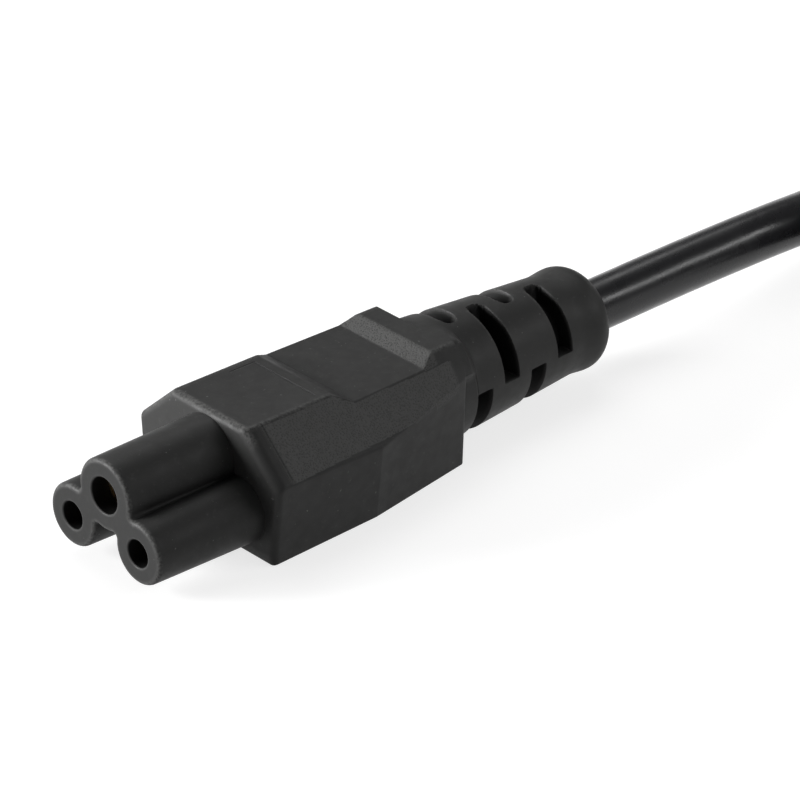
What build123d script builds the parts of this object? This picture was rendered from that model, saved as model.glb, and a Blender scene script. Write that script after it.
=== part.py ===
from build123d import *
import math
import os

os.makedirs("parts", exist_ok=True)

# Cloverleaf power cord. Millimetres, +X from the mating face towards the cord,
# +Z up, z = 0 on the rest face, origin under the middle of the connector.

# Connector: whole length and mating end
connector_length = 65.5
contact_spacing = 10.0
earth_rise = 4.4
line_height = 4.7
barrel_length = 13.4
line_barrel_d = 6.8
earth_barrel_d = 7.8
barrel_draft = 0.2
barrel_rim = 0.5
barrel_crease = 0.45
barrel_seat = 2.0
line_hole_d = 2.95
earth_hole_d = 3.9
hole_chamfer = 0.2
hole_lip = 2.2

# Connector: body, six-sided, with its sections at the front, at the bend of its sides and at the rear
body_length = 28.3
front_block_length = 14.3
body_height = 13.75
bend_top_drop = 0.1
rear_top_drop = 0.2
top_half = 5.6
body_half_width = 10.7
bend_narrowing = 0.45
rear_narrowing = 3.15
bottom_inset = 0.85
rear_bottom_inset = 0.25
shoulder_height = 9.1
bend_shoulder_drop = 0.55
rear_shoulder_rise = 1.25
body_round = 0.7

# Connector: shallow pocket across the top
pocket_start = 10.7
pocket_depth = 1.25
pocket_front_ramp = 2.5
pocket_floor_length = 10.1
pocket_rear_ramp = 2.0

# Strain relief
relief_axis_height = 6.5
relief_base_r = 6.95
relief_tip_r = 5.2
relief_bulge = 0.24
relief_bulge_length = 7.5
relief_tip_round = 2.4
relief_seat = 3.0
slot_first = 4.05
slot_pitch = 4.05
slot_rows = 4
slot_width = 1.9
slot_core_r = 3.9
slot_turn = 97.0

# Contacts inside the connector
line_pin_d = 2.4
earth_pin_d = 3.2
sleeve_wall = 0.5
sleeve_clearance = 0.1
sleeve_seat = 2.6
sleeve_bore_depth = 12.0
sleeve_slit = 0.4
slit_length = 9.0
crimp_r = 1.35
crimp_length = 8.6
crimp_depth = 4.0
conductor_r = 0.55
carrier_gap = 1.6
carrier_length = 8.0
carrier_width = 16.2
carrier_height = 10.2
carrier_corner = 2.0

# Cord: three insulated cores in a round jacket
cord_d = 5.7
core_d = 2.1
core_pitch_r = 1.25
jacket_inside = 23.1
wire_straight = 2.5
wire_bend = 4.0

# Put-away hank: stadium turns, two columns wide and four layers high
hank_start_x = 92.0
hank_run = 36.0
hank_middle_y = -15.0
hank_fold_r = 17.1
hank_columns = 2
hank_layers = 4
tie_width = 9.0
tie_thickness = 1.0
tie_corner = 2.85
tie_lap = 0.9
tie_lap_height = 8.0

# Free route of the cord (points chosen by hand, repeated in the scene)
lead_points = [
    (32.75, 0.0, 6.5),
    (47.25, 0.0, 6.65),
    (61.25, 0.0, 6.5),
    (70.8, 0.8, 5.5),
    (78.9, 3.6, 3.9),
    (84.0, 5.8, 3.0),
]
tail_points = [
    (142.0, 3.0, 19.95),
    (151.2, -4.2, 18.6),
    (162.2, -8.0, 16.6),
    (173.8, -8.0, 16.6),
]

# Mains plug, CEE 7/7 interface
plug_start_x = 168.0
plug_y = -8.0
plug_half_height = 16.6
plug_r = 18.4
plug_relief_length = 26.0
plug_relief_base_r = 7.4
plug_relief_tip_r = 5.5
plug_grip_length = 20.0
plug_grip_neck_r = 8.6
plug_grip_land = 4.0
plug_block_length = 17.5
plug_edge = 0.8
guide_notch_width = 5.0
guide_notch_depth = 2.4
pin_spacing = 19.0
pin_d = 4.8
pin_length = 19.0
pin_tip_round = 1.9
pin_shank_d = 4.4
pin_collar_r = 3.4
pin_root = 11.0
pin_crimp_r = 1.8
pin_crimp_length = 7.0
bridge_r = 14.2
bridge_cover = 3.0
bridge_length = 6.0
strap_width = 6.0
strap_thickness = 0.8
strap_inset = 0.4
strap_lead = 1.5
strap_reach = 15.0
strap_side_gap = 0.5
earth_hole_offset = 10.0
earth_socket_d = 4.9
earth_socket_wall = 0.6
earth_mouth_d = 5.6
earth_mouth_depth = 1.6
plug_jacket_inside = 27.0

# Derived positions
relief_length = connector_length - barrel_length - body_length
front_x = -connector_length / 2
body_front_x = front_x + barrel_length
bend_x = body_front_x + front_block_length
body_rear_x = body_front_x + body_length
relief_end_x = body_rear_x + relief_length
earth_height = line_height + earth_rise
jacket_x = relief_end_x - jacket_inside
sleeve_start_x = front_x + hole_lip
carrier_x = body_front_x + carrier_gap
sleeve_end_x = carrier_x + sleeve_seat
crimp_end_x = sleeve_end_x + crimp_length
cord_r = cord_d / 2
core_r = core_d / 2
hank_outer_r = hank_fold_r + (hank_columns - 0.5) * cord_d
hank_inner_r = hank_fold_r - cord_r
hank_height = hank_layers * cord_d
plug_axis = (plug_y, plug_half_height)
plug_grip_x = plug_start_x + plug_relief_length
plug_block_x = plug_grip_x + plug_grip_length
plug_face_x = plug_block_x + plug_block_length
plug_jacket_x = plug_start_x + plug_jacket_inside


def turned(outline):
    """Solid of revolution about X from a closed (x, radius) outline."""
    return revolve(make_face(Polyline(*outline, close=True)), Axis.X)


def rod(start, length, radius):
    """Round bar along +X from a start point."""
    return Pos(*start) * Rot(Y=90) * Cylinder(radius, length, align=(Align.CENTER, Align.CENTER, Align.MIN))


def tube(points, radii, radius):
    """Round section swept along straight runs joined by tangent arcs."""
    path = FilletPolyline(*points, radius=radii)
    return sweep(Plane(origin=path @ 0, z_dir=path % 0) * Circle(radius), path=path)


def corner_radii(points):
    """Arc radius at each inner point: 0.45 of the shorter run over tan(half the turn)."""
    radii = []
    for before, here, after in zip(points, points[1:], points[2:]):
        first = Vector(*here) - Vector(*before)
        second = Vector(*after) - Vector(*here)
        half_turn = math.radians(first.get_angle(second)) / 2
        radii.append(0.45 * min(first.length, second.length) / math.tan(half_turn))
    return radii


def relief_sleeve(length, base_r, tip_r, first_slot):
    """Tapered sleeve along +X from x = 0, its end rounded, with diagonal pairs of quarter slots."""
    bulge_x = length - relief_bulge_length
    slope = (base_r - tip_r) / length
    outline = [
        (-relief_seat, 0),
        (-relief_seat, base_r),
        (0, base_r),
        (bulge_x, base_r - slope * bulge_x),
        (length - relief_bulge_length / 2, tip_r + relief_bulge),
        (length, tip_r + relief_bulge),
        (length, 0),
    ]
    sleeve = turned(outline)
    tip_edge = sleeve.edges().filter_by(GeomType.CIRCLE).sort_by(Axis.X)[-1]
    sleeve = fillet(tip_edge, relief_tip_round)
    for row in range(slot_rows):
        low = first_slot + row * slot_pitch - slot_width / 2
        ring = Polyline(
            (low, slot_core_r),
            (low + slot_width, slot_core_r),
            (low + slot_width, 2 * base_r),
            (low, 2 * base_r),
            close=True,
        )
        sector = revolve(make_face(ring), Axis.X, revolution_arc=slot_turn)
        start = 0 if row % 2 == 0 else 180 - slot_turn
        sleeve -= Rot(X=start) * sector
        sleeve -= Rot(X=start + 180) * sector
    return sleeve


def body_section(x, narrowing, inset, shoulder, top):
    """Six-sided section of the body across X, on the rest face."""
    side = body_half_width - narrowing
    bottom = side - inset
    corners = [(-bottom, 0), (bottom, 0), (side, shoulder), (top_half, top), (-top_half, top), (-side, shoulder)]
    return Plane.YZ.offset(x) * Polygon(*corners, align=None)


def contact_outline(pin_r):
    """Outer outline of a contact: sleeve first, then the thinner crimp barrel."""
    sleeve_r = pin_r + sleeve_wall
    return [
        (sleeve_start_x, 0),
        (sleeve_start_x, sleeve_r),
        (sleeve_end_x, sleeve_r),
        (sleeve_end_x, crimp_r),
        (crimp_end_x, crimp_r),
        (crimp_end_x, 0),
    ]


def contact(pin_r):
    """Slit sleeve for one pin, with a blind crimp hole at its back."""
    solid = turned(contact_outline(pin_r))
    solid -= rod((sleeve_start_x, 0, 0), sleeve_bore_depth, pin_r)
    solid -= rod((crimp_end_x - crimp_depth, 0, 0), crimp_depth, conductor_r)
    slit = Box(slit_length, sleeve_slit, 2 * pin_r, align=(Align.MIN, Align.CENTER, Align.MIN))
    return solid - Pos(sleeve_start_x, 0, 0) * slit


def contact_bore(pin_r, hole_d):
    """What one contact takes out of the housing: chamfered hole, cavity round the sleeve, crimp seat."""
    hole_r = hole_d / 2
    cavity_r = pin_r + sleeve_wall + sleeve_clearance
    return turned([
        (front_x, 0),
        (front_x, hole_r + hole_chamfer),
        (front_x + hole_chamfer, hole_r),
        (sleeve_start_x, hole_r),
        (sleeve_start_x, cavity_r),
        (sleeve_end_x, cavity_r),
        (sleeve_end_x, crimp_r),
        (crimp_end_x, crimp_r),
        (crimp_end_x, 0),
    ])


def wire(start, end):
    """Insulated core from one X face to another, its stripped end first."""
    path = [
        start,
        (start[0] + wire_straight, start[1], start[2]),
        (end[0] - wire_straight, end[1], end[2]),
        end,
    ]
    stripped = rod((start[0] - crimp_depth, start[1], start[2]), crimp_depth, conductor_r)
    return tube(path, wire_bend, core_r) + stripped


def core_place(turn, axis_y, axis_z):
    """Where one core lies in the cord's section, by its angle from straight up."""
    angle = math.radians(turn)
    return (axis_y + core_pitch_r * math.sin(angle), axis_z + core_pitch_r * math.cos(angle))


# Connector housing: barrels, lofted body, pocket and slotted relief in one moulding
def barrel(diameter, y, z):
    """One barrel along +X from x = 0, with a little draft."""
    r = diameter / 2
    reach = barrel_length + barrel_seat
    return Pos(0, y, z) * turned([(0, 0), (0, r), (reach, r + barrel_draft), (reach, 0)])


line_y = contact_spacing / 2
clover = barrel(line_barrel_d, line_y, line_height)
clover += barrel(line_barrel_d, -line_y, line_height)
clover += barrel(earth_barrel_d, 0, earth_height)
creases = [edge for edge in clover.edges() if abs((edge @ 0 - edge @ 1).X) > barrel_length / 2]
clover = fillet(creases, barrel_crease)
clover = fillet(clover.faces().sort_by(Axis.X)[0].edges(), barrel_rim)
clover = Pos(front_x, 0, 0) * clover

body = loft([
    body_section(0, 0, bottom_inset, shoulder_height, body_height),
    body_section(front_block_length, bend_narrowing, bottom_inset, shoulder_height - bend_shoulder_drop,
                 body_height - bend_top_drop),
    body_section(body_length, rear_narrowing, rear_bottom_inset, shoulder_height + rear_shoulder_rise,
                 body_height - rear_top_drop),
], ruled=True)
long_edges = [edge for edge in body.edges() if abs((edge @ 0 - edge @ 1).X) > front_block_length / 2]
front_edges = list(body.faces().sort_by(Axis.X)[0].edges())
body = fillet(front_edges + long_edges, body_round)

pocket_floor_z = body_height - pocket_depth
pocket_top_z = body_height + pocket_depth
pocket_floor_start = pocket_start + pocket_front_ramp
pocket_floor_end = pocket_floor_start + pocket_floor_length
pocket_outline = [
    (pocket_start - pocket_front_ramp, pocket_top_z),
    (pocket_floor_start, pocket_floor_z),
    (pocket_floor_end, pocket_floor_z),
    (pocket_floor_end + 2 * pocket_rear_ramp, pocket_top_z),
]
body -= extrude(Plane.XZ * Polygon(*pocket_outline, align=None), body_half_width, both=True)
body = Pos(body_front_x, 0, 0) * body

relief = Pos(body_rear_x, 0, relief_axis_height) * relief_sleeve(
    relief_length, relief_base_r, relief_tip_r, slot_first)
above_rest = Box(4 * connector_length, 4 * relief_base_r, 4 * relief_base_r,
                 align=(Align.CENTER, Align.CENTER, Align.MIN))
relief &= above_rest

contact_places = {
    "line_contact": (line_y, line_height, line_pin_d / 2, line_hole_d),
    "neutral_contact": (-line_y, line_height, line_pin_d / 2, line_hole_d),
    "earth_contact": (0, earth_height, earth_pin_d / 2, earth_hole_d),
}
housing = body + relief + clover

# Inner pieces of the connector, each taken out of what is moulded round it
parts = {}
carrier = Pos(carrier_x, 0, (line_height + earth_height) / 2) * extrude(
    Plane.YZ * RectangleRounded(carrier_width, carrier_height, carrier_corner), carrier_length)
housing -= carrier
for name, (y, z, pin_r, hole_d) in contact_places.items():
    envelope = Pos(0, y, z) * turned(contact_outline(pin_r))
    housing -= Pos(0, y, z) * contact_bore(pin_r, hole_d)
    carrier -= envelope
    parts[name] = Pos(0, y, z) * contact(pin_r)

jacket = rod((jacket_x, 0, relief_axis_height), jacket_inside, cord_r)
housing -= jacket
wire_turns = {"line": 120, "neutral": -120, "earth": 0}
for name, turn in wire_turns.items():
    y, z = core_place(turn, 0, relief_axis_height)
    place = contact_places[name + "_contact"]
    core = wire((crimp_end_x, place[0], place[1]), (jacket_x, y, z))
    housing -= core
    parts[name + "_wire"] = core
parts["connector_housing"] = housing
parts["contact_carrier"] = carrier


# Hank with the tie let into one side, then the lead and the tail that meet it
def stadium(radius, height):
    """Upright block with a stadium outline round the hank's middle line."""
    shape = SlotCenterToCenter(hank_run, 2 * radius)
    return Pos(hank_start_x + hank_run / 2, hank_middle_y, 0) * extrude(shape, height)


hank = stadium(hank_outer_r, hank_height) - stadium(hank_inner_r, hank_height)
tie_y = hank_middle_y - (hank_outer_r + hank_inner_r) / 2
side_width = hank_outer_r - hank_inner_r
window_height = hank_height - tie_thickness
tie_window = RectangleRounded(side_width, window_height, tie_corner)
tie_outside = RectangleRounded(
    side_width + 2 * tie_thickness, window_height + 2 * tie_thickness, tie_corner + tie_thickness)
lap_rise = tie_thickness + tie_lap
lap_outside = RectangleRounded(side_width + 2 * lap_rise, window_height + 2 * lap_rise, tie_corner + lap_rise)
lap_area = Pos(tie_corner, tie_lap_height) * Rectangle(side_width + 2 * lap_rise, window_height + 2 * lap_rise)
tie_sketch = (tie_outside - tie_window) + ((lap_outside - tie_outside) & lap_area)
tie_middle = Plane.YZ.offset(hank_start_x + hank_run / 2) * Pos(tie_y, (hank_height + tie_thickness) / 2)
tie = extrude(tie_middle * tie_sketch, tie_width / 2, both=True)
hank -= tie

lead_radii = corner_radii(lead_points)
tail_radii = corner_radii(tail_points)
print("lead radii", [round(r, 1) for r in lead_radii])
print("tail radii", [round(r, 1) for r in tail_radii])
lead_tube = tube(lead_points, lead_radii, cord_r)
tail_tube = tube(tail_points, tail_radii, cord_r)
for name, whole, points, radii in (
    ("lead", lead_tube, lead_points, lead_radii),
    ("tail", tail_tube, tail_points, tail_radii),
):
    length = FilletPolyline(*points, radius=radii).length
    print(name, "volume over section times length", round(whole.volume / (math.pi * cord_r ** 2 * length), 4))
tail_end_x = tail_points[-1][0]
tail_rod = rod((tail_end_x, *plug_axis), plug_jacket_x - tail_end_x, cord_r)
parts["cord_lead"] = lead_tube + jacket - hank
parts["cord_hank"] = hank
parts["cord_tail"] = tail_tube + tail_rod - hank
parts["cord_tie"] = tie


# Mains plug, lying on one of its flats, pins along +X
def plug_outline(radius):
    """Round front outline of the plug with its two flats."""
    band = Rectangle(2 * radius, 2 * plug_half_height)
    return Plane.YZ * (Circle(radius) & band)


block = Pos(plug_block_x, *plug_axis) * extrude(plug_outline(plug_r), plug_block_length)
block = fillet(block.faces().sort_by(Axis.X)[-1].edges(), plug_edge)
for side in (-1, 1):
    notch_y = plug_y + side * (plug_r - guide_notch_depth)
    notch_align = Align.MIN if side > 0 else Align.MAX
    notch = Box(plug_block_length, plug_r, guide_notch_width, align=(Align.MIN, notch_align, Align.CENTER))
    block -= Pos(plug_block_x, notch_y, plug_half_height) * notch

grip_middle_r = plug_grip_neck_r + 0.3 * (plug_r - plug_grip_neck_r)
grip_side = Line((0, 0), (0, plug_grip_neck_r))
grip_side += ThreePointArc(
    (0, plug_grip_neck_r),
    (0.55 * (plug_grip_length - plug_grip_land), grip_middle_r),
    (plug_grip_length - plug_grip_land, plug_r),
)
grip_side += Polyline(
    (plug_grip_length - plug_grip_land, plug_r),
    (plug_grip_length, plug_r),
    (plug_grip_length, 0),
    (0, 0),
)
grip = revolve(make_face(grip_side), Axis.X)
grip &= Box(4 * plug_r, 4 * plug_r, 2 * plug_half_height)
grip = Pos(plug_grip_x, *plug_axis) * grip
plug_relief = Pos(plug_grip_x, *plug_axis) * Rot(Z=180) * relief_sleeve(
    plug_relief_length, plug_relief_base_r, plug_relief_tip_r, slot_first)
plug_housing = block + grip + plug_relief

# Pins, bridge, earth strap and earth socket inside the plug
bridge_x = plug_face_x - bridge_cover - bridge_length
bridge = rod((bridge_x, *plug_axis), bridge_length, bridge_r)
pin_r = pin_d / 2
shank_r = pin_shank_d / 2
pin_back_x = plug_face_x - pin_root
pin_crimp_x = pin_back_x - pin_crimp_length
pin_shape = turned([
    (pin_crimp_x, 0),
    (pin_crimp_x, pin_crimp_r),
    (pin_back_x, pin_crimp_r),
    (pin_back_x, shank_r),
    (bridge_x, shank_r),
    (bridge_x, pin_collar_r),
    (bridge_x + bridge_length / 2, pin_collar_r),
    (bridge_x + bridge_length / 2, shank_r),
    (plug_face_x, shank_r),
    (plug_face_x, pin_r),
    (plug_face_x + pin_length, pin_r),
    (plug_face_x + pin_length, 0),
])
pin_shape = fillet(pin_shape.edges().filter_by(GeomType.CIRCLE).sort_by(Axis.X)[-1], pin_tip_round)

strap_back_x = plug_face_x - strap_reach
strap_outer = plug_half_height - strap_inset
strap_leg_length = strap_reach - strap_lead
strap_outside = Box(strap_leg_length, strap_width, 2 * strap_outer, align=(Align.MIN, Align.CENTER, Align.CENTER))
strap_inside = Pos(strap_thickness, 0, 0) * Box(
    strap_leg_length, strap_width, 2 * (strap_outer - strap_thickness),
    align=(Align.MIN, Align.CENTER, Align.CENTER))
strap = Pos(strap_back_x, *plug_axis) * (strap_outside - strap_inside)
groove = Box(
    strap_leg_length + strap_lead, strap_width + 2 * strap_side_gap, strap_outer,
    align=(Align.MIN, Align.CENTER, Align.MIN))
groove_floor = strap_outer - strap_thickness
plug_housing -= Pos(strap_back_x + strap_thickness, plug_y, plug_half_height + groove_floor) * groove
plug_housing -= Pos(strap_back_x + strap_thickness, plug_y, plug_half_height - groove_floor) * Rot(X=180) * groove

socket_y = plug_y
socket_z = plug_half_height + earth_hole_offset
socket_r = earth_socket_d / 2
socket_outer_r = socket_r + earth_socket_wall
socket_x = strap_back_x + strap_thickness
socket_length = plug_face_x - earth_mouth_depth - socket_x
socket_envelope = rod((socket_x, socket_y, socket_z), socket_length, socket_outer_r)
earth_socket = socket_envelope - rod((socket_x, socket_y, socket_z), socket_length, socket_r)
mouth = rod((socket_x, socket_y, socket_z), plug_face_x - socket_x, earth_mouth_d / 2)

plug_housing -= bridge
plug_housing -= strap
plug_housing -= socket_envelope
plug_housing -= mouth
bridge -= socket_envelope
for name, side in (("line_pin", 1), ("neutral_pin", -1)):
    pin = Pos(0, plug_y + side * pin_spacing / 2, plug_half_height) * pin_shape
    plug_housing -= pin
    bridge -= pin
    end_hole = rod(
        (pin_crimp_x, plug_y + side * pin_spacing / 2, plug_half_height), crimp_depth, conductor_r)
    parts[name] = pin - end_hole

plug_housing -= rod((plug_start_x, *plug_axis), plug_jacket_inside, cord_r)
plug_wire_ends = {
    "line": (pin_crimp_x, plug_y + pin_spacing / 2, plug_half_height, 120),
    "neutral": (pin_crimp_x, plug_y - pin_spacing / 2, plug_half_height, -120),
    "earth": (strap_back_x, plug_y, plug_half_height + core_pitch_r + core_r, 0),
}
for name, (x, y, z, turn) in plug_wire_ends.items():
    core_y, core_z = core_place(turn, *plug_axis)
    path = [
        (plug_jacket_x, core_y, core_z),
        (plug_jacket_x + wire_straight, core_y, core_z),
        (x - wire_straight, y, z),
        (x, y, z),
    ]
    core = tube(path, wire_bend, core_r)
    if name != "earth":
        core += rod((x, y, z), crimp_depth, conductor_r)
    plug_housing -= core
    parts["plug_" + name + "_wire"] = core
parts["plug_housing"] = plug_housing
parts["plug_bridge"] = bridge
parts["earth_strap"] = strap
parts["earth_socket"] = earth_socket

for name, solid in parts.items():
    export_step(solid, f"parts/{name}.step")
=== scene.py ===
import math

import bmesh
import bpy
import numpy as np
from bpy.props import FloatProperty, FloatVectorProperty, PointerProperty
from mathutils import Matrix, Vector
from mathutils.geometry import tessellate_polygon


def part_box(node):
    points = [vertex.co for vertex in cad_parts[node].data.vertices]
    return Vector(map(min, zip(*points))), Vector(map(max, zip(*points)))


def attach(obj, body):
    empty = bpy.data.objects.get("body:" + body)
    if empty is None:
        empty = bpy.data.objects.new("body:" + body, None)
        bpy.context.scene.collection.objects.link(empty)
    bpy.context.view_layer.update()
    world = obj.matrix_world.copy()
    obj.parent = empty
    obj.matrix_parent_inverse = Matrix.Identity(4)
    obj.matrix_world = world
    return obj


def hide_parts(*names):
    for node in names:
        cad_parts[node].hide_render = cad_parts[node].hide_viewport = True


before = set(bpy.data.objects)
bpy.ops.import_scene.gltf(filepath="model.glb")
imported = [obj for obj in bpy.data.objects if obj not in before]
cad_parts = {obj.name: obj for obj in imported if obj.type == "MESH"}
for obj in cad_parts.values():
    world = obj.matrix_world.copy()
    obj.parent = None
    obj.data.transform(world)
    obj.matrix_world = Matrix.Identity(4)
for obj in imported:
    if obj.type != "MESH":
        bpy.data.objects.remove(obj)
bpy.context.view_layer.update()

bl_info = {
    "name": "Cloverleaf power cord",
    "version": (1, 0, 0),
    "blender": (4, 5, 0),
    "location": "3D View > Sidebar > Power cord",
    "description": "Dresses the packed cloverleaf power cord: mouldings, cord, tie, pins, finishes and studio",
    "category": "Object",
}

MM = 0.001
BODY = "root"
FULL_TURN = 2.0 * math.pi
MIRROR = np.array([-1.0, 1.0])

# Connector stations along X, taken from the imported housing
FRONT_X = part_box("connector_housing")[0].x
BODY_X = FRONT_X + 13.4 * MM
BODY_LENGTH = 28.3 * MM
RELIEF_X = BODY_X + BODY_LENGTH
RELIEF_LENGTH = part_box("connector_housing")[1].x - RELIEF_X
RELIEF_AXIS = (0.0, 6.5 * MM)
RELIEF_RADII = (6.95 * MM, 5.2 * MM)

# Holes of the mating face in (y, z), each with a lip and a wider cavity behind it
LINE_PLACE = np.array([5.0, 4.7]) * MM
EARTH_PLACE = np.array([0.0, 9.1]) * MM
LINE_CAVITY_R = 1.8 * MM
EARTH_CAVITY_R = 2.2 * MM
HOLE_LIP = 2.2 * MM
# Rows of a hole's rim; past them its inside is darkened as painted shade
HOLE_RIM_ROWS = 4
CARRIER_DEPTH = 17.6 * MM
# Share of painted shade laid on the mating face and the holes' flat rings
FACE_SHADE = 0.42

# Six-sided body at its front, its bend and its rear
BODY_STATIONS = np.array([0.0, 14.3, 28.3]) * MM
BODY_SIDE = np.array([10.7, 10.25, 7.55]) * MM
BODY_FOOT_IN = np.array([0.85, 0.85, 0.25]) * MM
BODY_SHOULDER = np.array([9.1, 8.55, 10.35]) * MM
BODY_TOP = np.array([13.75, 13.65, 13.55]) * MM
RIDGE_HALF = 5.6 * MM
FOOT_ROUND = 0.22 * MM
REAR_ROUND = 0.3 * MM
REAR_CORNERS = ((BODY_SIDE[2], BODY_SHOULDER[2]), (RIDGE_HALF, BODY_TOP[2]))
# Shares of the end roundings on the bottom, +Y side, +Y shoulder, top, -Y shoulder and -Y side
FRONT_SHARES = np.array([0.4, 0.7, 1.0, 1.0, 1.5, 0.9])
REAR_SHARES = np.array([0.2, 1.0, 1.0, 0.0, 0.0, 1.0])
# Where the +Y ridge corner starts to fall off at the rear, and how steeply
DROP_X = 27.65 * MM
DROP_SLOPE = 1.3
# Pocket along X: the ends of its ramps over the top and of its floor, and the bends that need close stations
POCKET_X = np.array([8.8, 13.55, 23.3, 27.3]) * MM
POCKET_RISE = 2.5 * MM
POCKET_BENDS = np.array([11.3, 13.55, 23.3, 25.3]) * MM
POCKET_BLEND = 0.16 * MM

# Slots of a strain relief: rows, and the angles of their rounded ends on even and odd rows
SLOT_ROWS = 4
SLOT_ENDS = (104.0, 88.0)

# Plug stations along X
PLUG_X = 168.0 * MM
PLUG_RELIEF_LENGTH = 26.0 * MM
PLUG_RELIEF_RADII = (7.4 * MM, 5.5 * MM)
PLUG_GRIP_X = PLUG_X + PLUG_RELIEF_LENGTH
PLUG_BLOCK_START = 20.0 * MM
PLUG_GROOVE_START = 23.3 * MM
PLUG_FACE_X = PLUG_GRIP_X + PLUG_BLOCK_START + 17.5 * MM
PLUG_AXIS = (-8.0 * MM, 16.6 * MM)
PLUG_HOLE = (PLUG_AXIS[0], PLUG_AXIS[1] + 10.0 * MM)
PIN_LENGTH = 19.0 * MM

# Route of the cord, the control points of its spline, in metres
LEAD_POINTS = [
    (0.0250, 0.0, 0.0065),
    (0.03275, 0.0, 0.0065),
    (0.04725, 0.0, 0.00665),
    (0.06125, 0.0, 0.0065),
    (0.0708, 0.0008, 0.0055),
    (0.0789, 0.0036, 0.0039),
    (0.0840, 0.0058, 0.0030),
]
TAIL_POINTS = [
    (0.1341, 0.0078, 0.01995),
    (0.1420, 0.0030, 0.01995),
    (0.1512, -0.0042, 0.0186),
    (0.1622, -0.0080, 0.0166),
    (0.1738, -0.0080, 0.0166),
    (0.1900, -0.0080, 0.0166),
]
HANK_NEAR_X = 92.0 * MM
HANK_FAR_X = 128.0 * MM
HANK_X = (HANK_NEAR_X + HANK_FAR_X) / 2.0
HANK_Y = -15.0 * MM
HANK_OUTER = 22.8 * MM
HANK_HEIGHT = 22.8 * MM
HANK_FIRST_RUN = (HANK_X - 6.0 * MM, HANK_Y + HANK_OUTER, 2.85 * MM)
HANK_LAST_RUN = (HANK_X - 6.0 * MM, HANK_Y + HANK_OUTER, 19.95 * MM)
FOLD_R = 17.1 * MM

# Camera fitted to the photograph
CAMERA_PLACE = (-0.300071, -0.329379, 0.254882)
CAMERA_YAW = 0.7498598
CAMERA_PITCH = 0.5061988
CAMERA_ROLL = 0.0129937
CAMERA_LENS = 225.0

# Lamps: place, target and size in metres, and the property that holds the power
LAMPS = {
    "key_lamp": ((-0.56, 0.42, 0.13), (0.0, 0.0, 0.008), (0.24, 0.36), "key_power"),
    "top_lamp": ((0.20, 0.30, 0.56), (0.0, 0.0, 0.008), (0.55, 0.5), "top_power"),
    "strip_lamp": ((0.46, -0.44, 0.36), (0.03, 0.0, 0.006), (0.5, 0.07), "strip_power"),
}


def measure(name, description, millimetres):
    """Size that a user may change, given in millimetres."""
    return FloatProperty(
        name=name, description=description, default=millimetres * MM, unit="LENGTH", precision=5)


def colour(name, description, default):
    """Colour that a user may change."""
    return FloatVectorProperty(name=name, description=description, default=default, subtype="COLOR", size=3)


def power(name, description, default):
    """Power of a lamp that a user may change."""
    return FloatProperty(name=name, description=description, default=default, subtype="POWER")


class ConnectorSizes(bpy.types.PropertyGroup):
    """Sizes of the connector's moulding."""
    line_barrel_r: measure("Line barrel radius", "Radius of the two lower barrels", 3.4)
    earth_barrel_r: measure("Earth barrel radius", "Radius of the upper barrel", 3.9)
    barrel_crease: measure("Crease radius", "Hollow rounding between neighbouring barrels", 0.45)
    barrel_rim: measure("Rim rounding", "Rounding of the mating face's outline", 0.5)
    line_hole_r: measure("Line hole radius", "Radius of the two lower holes", 1.475)
    earth_hole_r: measure("Earth hole radius", "Radius of the upper hole", 1.95)
    body_round: measure("Long edge rounding", "Rounding of the body's long edges", 0.6)
    front_round: measure("Front edge rounding", "Rounding of the body's front edges", 0.8)
    pocket_floor: measure("Pocket floor height", "Height of the shallow pocket's floor", 12.5)


class ReliefSizes(bpy.types.PropertyGroup):
    """Sizes that both strain reliefs share."""
    bulge: measure("Tip bulge", "How far the tip swells over the taper", 0.38)
    tip_round: measure("Tip rounding", "Rounding of the tip's edge", 2.4)
    slot_first: measure("First slot", "Distance of the first slot row from the base", 3.55)
    slot_pitch: measure("Slot pitch", "Distance between slot rows", 4.1)
    slot_width: measure("Slot width", "Width of a slot along the cord", 2.0)
    slot_core: measure("Core radius", "Radius of the core under the slots", 3.9)


class CordSizes(bpy.types.PropertyGroup):
    """Sizes of the cord, its hank and its tie."""
    diameter: measure("Cord diameter", "Outside diameter of the jacket", 5.7)
    length: FloatProperty(
        name="Cord length", description="Real length of the lead between its ends", default=1.5, unit="LENGTH")
    tie_width: measure("Tie width", "Width of the strap round the hank", 9.0)
    tie_thickness: measure("Tie thickness", "Thickness of the strap", 1.0)


class PlugSizes(bpy.types.PropertyGroup):
    """Sizes of the mains plug."""
    radius: measure("Block radius", "Radius of the plug's round block", 18.4)
    half_height: measure("Half height", "Height of each flat over the axis", 16.6)
    neck_r: measure("Neck radius", "Radius where the grip meets the strain relief", 8.6)
    face_round: measure("Face edge rounding", "Rounding of the front edge", 0.8)
    pin_r: measure("Pin radius", "Radius of the two solid pins", 2.4)
    pin_spacing: measure("Pin spacing", "Distance between the two pins", 19.0)


class FinishColours(bpy.types.PropertyGroup):
    """Base colours of the finishes."""
    moulding: colour("Moulding", "Black PVC of the two mouldings", (0.026, 0.026, 0.0256))
    jacket: colour("Jacket", "Black PVC of the cord", (0.013, 0.013, 0.0145))
    strap: colour("Strap", "Black woven strap of the tie", (0.018, 0.018, 0.018))
    carrier: colour("Carrier", "Dark plastic of the inner carriers", (0.05, 0.05, 0.05))
    brass: colour("Brass", "Formed spring brass, dull with age", (0.46, 0.33, 0.16))
    nickel: colour("Nickel", "Nickel plate of the pins", (0.72, 0.70, 0.66))
    line: colour("Line core", "Brown insulation", (0.11, 0.045, 0.02))
    neutral: colour("Neutral core", "Blue insulation", (0.02, 0.09, 0.42))
    earth_green: colour("Earth core green", "Green of the earth insulation", (0.03, 0.24, 0.04))
    earth_yellow: colour("Earth core yellow", "Yellow stripe of the earth insulation", (0.75, 0.6, 0.03))


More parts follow.
